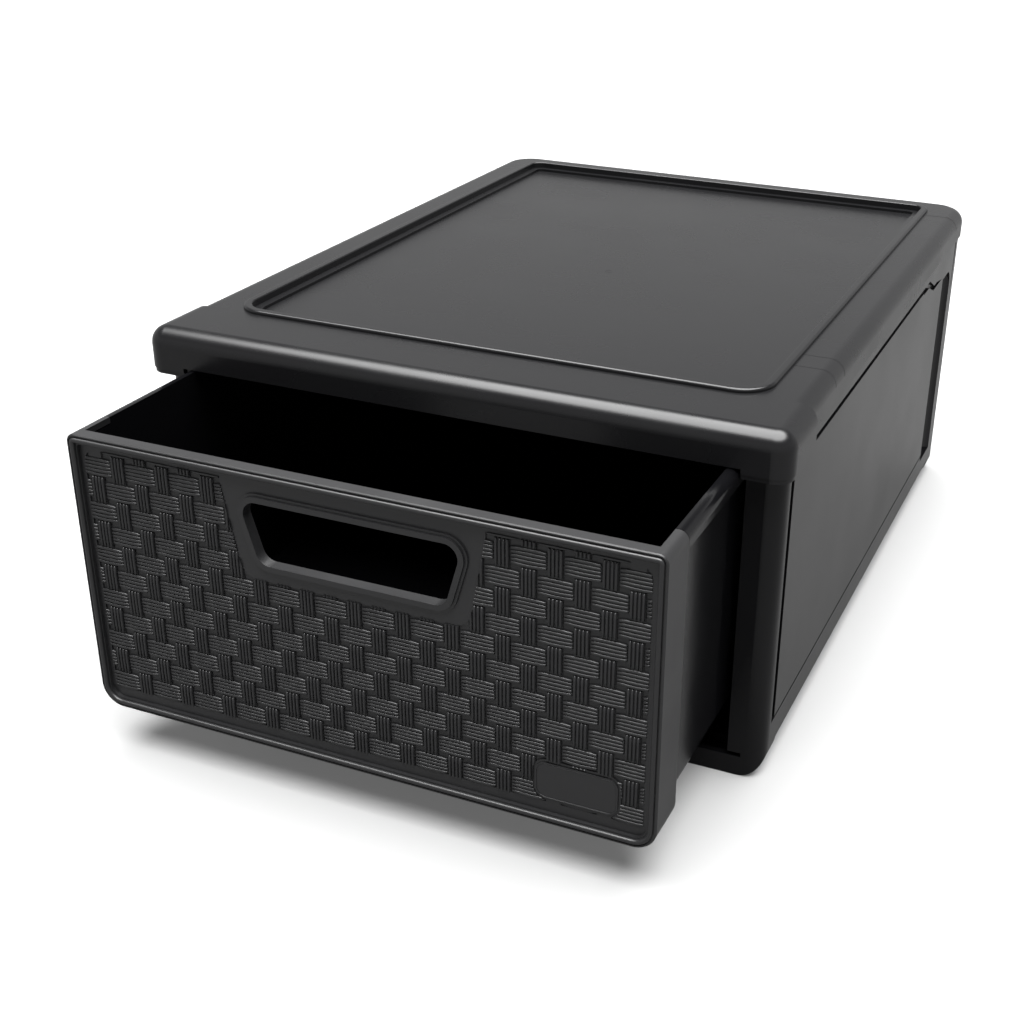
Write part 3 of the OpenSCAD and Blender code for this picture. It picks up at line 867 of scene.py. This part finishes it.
def moulded(name, colour, gloss, roughness, cloud, grain, wavy):
    """A moulded plastic, made once: cloudy roughness under the grain of the mould's steel.

    roughness is a range and cloud the size of its clouds in millimetres, grain is the
    strength of the grain, and a wavy face has shrunk a little between its ribs.
    """
    made = bpy.data.materials.get(name)
    if made:
        return made
    material = bpy.data.materials.new(name)
    material.use_nodes = True
    tree = material.node_tree
    tree.nodes.clear()
    coords = add_node(tree, "ShaderNodeTexCoord").outputs["Object"]
    waves = bumps(tree, coords, 30, 0.2, 0.15) if wavy else None
    size = bpy.context.scene.drawerbox_finish.grain
    shader = add_node(
        tree,
        "ShaderNodeBsdfPrincipled",
        sockets={
            "Base Color": linear(colour),
            "IOR": 1.49,
            "Specular IOR Level": gloss,
        },
        links={
            "Roughness": spread(tree, coords, cloud, *roughness),
            "Normal": bumps(tree, coords, size, grain, 0.02, waves),
        },
    )
    add_node(tree, "ShaderNodeOutputMaterial", links={"Surface": shader.outputs[0]})
    return material


def cover_plastic():
    """Polypropylene moulded with a fine matt grain: a soft grey sheen, a little cloudy."""
    return moulded(
        "moulded_polypropylene_matt_grain",
        bpy.context.scene.drawerbox_finish.cover,
        gloss=0.3,
        roughness=(0.24, 0.29),
        cloud=45,
        grain=0.2,
        wavy=False,
    )


def body_plastic():
    """Polypropylene moulded in a polished mould: near black, with a soft gloss."""
    return moulded(
        "moulded_polypropylene_soft_gloss",
        bpy.context.scene.drawerbox_finish.body,
        gloss=0.25,
        roughness=(0.20, 0.26),
        cloud=60,
        grain=0.15,
        wavy=True,
    )


def tub_plastic():
    """Polypropylene moulded in a mirror-bright mould: near black, clear highlights."""
    return moulded(
        "moulded_polypropylene_gloss",
        bpy.context.scene.drawerbox_finish.tub,
        gloss=0.2,
        roughness=(0.12, 0.18),
        cloud=50,
        grain=0.1,
        wavy=True,
    )


def front_plastic():
    """Polypropylene moulded with a satin grain: dark grey, a dull sheen on each strand."""
    return moulded(
        "moulded_polypropylene_satin",
        bpy.context.scene.drawerbox_finish.front,
        gloss=0.5,
        roughness=(0.36, 0.42),
        cloud=35,
        grain=0.2,
        wavy=False,
    )


def dress(node, material):
    """Gives a CAD node its material on every slot."""
    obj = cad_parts[node]
    if not obj.data.materials:
        obj.data.materials.append(material)
    for slot in obj.material_slots:
        slot.material = material


class DRAWERBOX_OT_housing_finish(bpy.types.Operator):
    """Gives the top cover, the panels and the base their moulded plastics"""

    bl_idname = "drawerbox.housing_finish"
    bl_label = "Housing finish"

    def execute(self, context):
        dress("top_cover", cover_plastic())
        for node in ("left_side", "right_side", "back_panel", "base"):
            dress(node, body_plastic())
        return {"FINISHED"}


class DRAWERBOX_OT_drawer_finish(bpy.types.Operator):
    """Gives the drawer tub and the drawer front their moulded plastics"""

    bl_idname = "drawerbox.drawer_finish"
    bl_label = "Drawer finish"

    def execute(self, context):
        dress("drawer_tub", tub_plastic())
        dress("drawer_front", front_plastic())
        return {"FINISHED"}


# ---- studio ----


class DRAWERBOX_OT_studio(bpy.types.Operator):
    """Sets the box on a plain pale floor under soft light, with the camera"""

    bl_idname = "drawerbox.studio"
    bl_label = "Studio"

    def floor_finish(self, studio):
        """Smooth painted board: pale, even and dull; painted shade darkens it where the
        plastic mirrors it.
        """
        material = bpy.data.materials.new("painted_studio_floor")
        material.use_nodes = True
        tree = material.node_tree
        coords = add_node(tree, "ShaderNodeTexCoord").outputs["Object"]
        clouds = add_node(
            tree,
            "ShaderNodeMix",
            settings={"data_type": "RGBA"},
            sockets={
                COLOUR_A: linear(studio.floor),
                COLOUR_B: linear(studio.floor_cloud),
            },
            links={"Factor": spread(tree, coords, 900, 0.0, 1.0)},
        )
        # painted shade: the board takes a darker colour where the plastic mirrors it, so
        # the plastic shows a dim floor
        glossy = add_node(tree, "ShaderNodeLightPath").outputs["Is Glossy Ray"]
        shade_in_mirror = add_node(
            tree,
            "ShaderNodeMix",
            settings={"data_type": "RGBA"},
            sockets={COLOUR_B: linear(studio.floor_mirrored_shade)},
            links={"Factor": glossy, COLOUR_A: clouds.outputs[MIXED]},
        )
        shader = tree.nodes["Principled BSDF"]
        shader.inputs["Roughness"].default_value = 0.9
        shader.inputs["Specular IOR Level"].default_value = 0.1
        # light that comes through the board from below keeps the shadows open
        shader.inputs["Emission Color"].default_value = linear("#ffffff")
        shader.inputs["Emission Strength"].default_value = 0.1
        tree.links.new(shade_in_mirror.outputs[MIXED], shader.inputs["Base Color"])
        return material

    def fade(self, tree, height, edge, strengths):
        """Light that goes smoothly from one strength to another across an edge."""
        node = add_node(
            tree,
            "ShaderNodeMapRange",
            settings={"interpolation_type": "SMOOTHSTEP"},
            sockets={
                "From Min": edge[0],
                "From Max": edge[1],
                "To Min": strengths[0],
                "To Max": strengths[1],
            },
            links={"Value": height},
        )
        return node.outputs["Result"]

    def sky(self, world, studio):
        """Pale walls to a third of the way up, dark above, and a soft light overhead."""
        world.use_nodes = True
        tree = world.node_tree
        tree.nodes.clear()
        coords = add_node(tree, "ShaderNodeTexCoord").outputs["Object"]
        parts = add_node(tree, "ShaderNodeSeparateXYZ", links={"Vector": coords})
        height = parts.outputs["Z"]
        strengths = (studio.wall_light, studio.dark_light)
        walls = self.fade(tree, height, studio.wall_edge, strengths)
        overhead = self.fade(tree, height, studio.cap_edge, (0.0, studio.cap_light))
        # the walls are half as bright in the plastic, which dark flags shade
        share = add_node(
            tree,
            "ShaderNodeMath",
            settings={"operation": "SUBTRACT"},
            sockets={0: 2.0},
            links={1: add_node(tree, "ShaderNodeLightPath").outputs["Is Glossy Ray"]},
        )
        both = add_node(
            tree,
            "ShaderNodeMath",
            settings={"operation": "MULTIPLY_ADD"},
            links={0: walls, 1: share.outputs["Value"], 2: overhead},
        )
        background = add_node(
            tree,
            "ShaderNodeBackground",
            sockets={"Color": (1, 1, 1, 1)},
            links={"Strength": both.outputs["Value"]},
        )
        add_node(
            tree,
            "ShaderNodeOutputWorld",
            links={"Surface": background.outputs["Background"]},
        )

    def camera(self, studio):
        """The camera at the photograph's viewpoint."""
        sy, cy = math.sin(studio.yaw), math.cos(studio.yaw)
        sp, cp = math.sin(studio.pitch), math.cos(studio.pitch)
        ahead = Vector((-sy * cp, cy * cp, -sp))
        right = Vector((cy, sy, 0))
        up = right.cross(ahead)
        sr, cr = math.sin(studio.roll), math.cos(studio.roll)
        x_axis = cr * right + sr * up
        y_axis = -sr * right + cr * up
        data = bpy.data.cameras.new("camera")
        data.sensor_width = SENSOR
        data.lens = SENSOR * studio.focal_pixels / PICTURE_PIXELS
        data.shift_x, data.shift_y = studio.shift
        data.clip_start = 0.01
        data.clip_end = 100
        cam = bpy.data.objects.new("camera", data)
        bpy.context.scene.collection.objects.link(cam)
        turn = Matrix((x_axis, y_axis, -ahead)).transposed().to_4x4()
        cam.matrix_world = Matrix.Translation(Vector(studio.camera_place) * MM) @ turn
        return cam

    def execute(self, context):
        studio = context.scene.drawerbox_studio
        floor = add_primitive("plane", "floor", size=2 * studio.half_floor * MM)
        floor.data.materials.append(self.floor_finish(studio))
        world = context.scene.world or bpy.data.worlds.new("studio")
        context.scene.world = world
        self.sky(world, studio)
        context.scene.camera = self.camera(studio)
        context.scene.view_settings.view_transform = "Standard"
        return {"FINISHED"}


# ---- panel and registration ----


class DRAWERBOX_PT_sidebar(bpy.types.Panel):
    """Lists the steps of the drawer box"""

    bl_idname = "DRAWERBOX_PT_sidebar"
    bl_label = "Drawer box"
    bl_space_type = "VIEW_3D"
    bl_region_type = "UI"
    bl_category = "Drawer box"

    def draw(self, context):
        for step in STEPS:
            self.layout.operator(step.bl_idname)
        for name in GROUPS:
            group = getattr(context.scene, name)
            box = self.layout.box()
            for prop in group.bl_rna.properties:
                if not prop.is_readonly and prop.identifier != "name":
                    box.prop(group, prop.identifier)


STEPS = (
    DRAWERBOX_OT_housing_finish,
    DRAWERBOX_OT_drawer_finish,
    DRAWERBOX_OT_weave_strands,
    DRAWERBOX_OT_moulding_marks,
    DRAWERBOX_OT_studio,
)
GROUPS = {
    "drawerbox_weave": WeaveSizes,
    "drawerbox_hold": HoldSizes,
    "drawerbox_marks": MarkSizes,
    "drawerbox_finish": PlasticFinish,
    "drawerbox_studio": StudioSizes,
}


def register():
    for cls in (*GROUPS.values(), *STEPS, DRAWERBOX_PT_sidebar):
        bpy.utils.register_class(cls)
    for name, cls in GROUPS.items():
        setattr(bpy.types.Scene, name, bpy.props.PointerProperty(type=cls))


def unregister():
    for name in GROUPS:
        delattr(bpy.types.Scene, name)
    for cls in reversed((*GROUPS.values(), *STEPS, DRAWERBOX_PT_sidebar)):
        bpy.utils.unregister_class(cls)


def main():
    register()
    for step in STEPS:
        group, action = step.bl_idname.split(".")
        getattr(getattr(bpy.ops, group), action)()


if __name__ == "__main__":
    main()
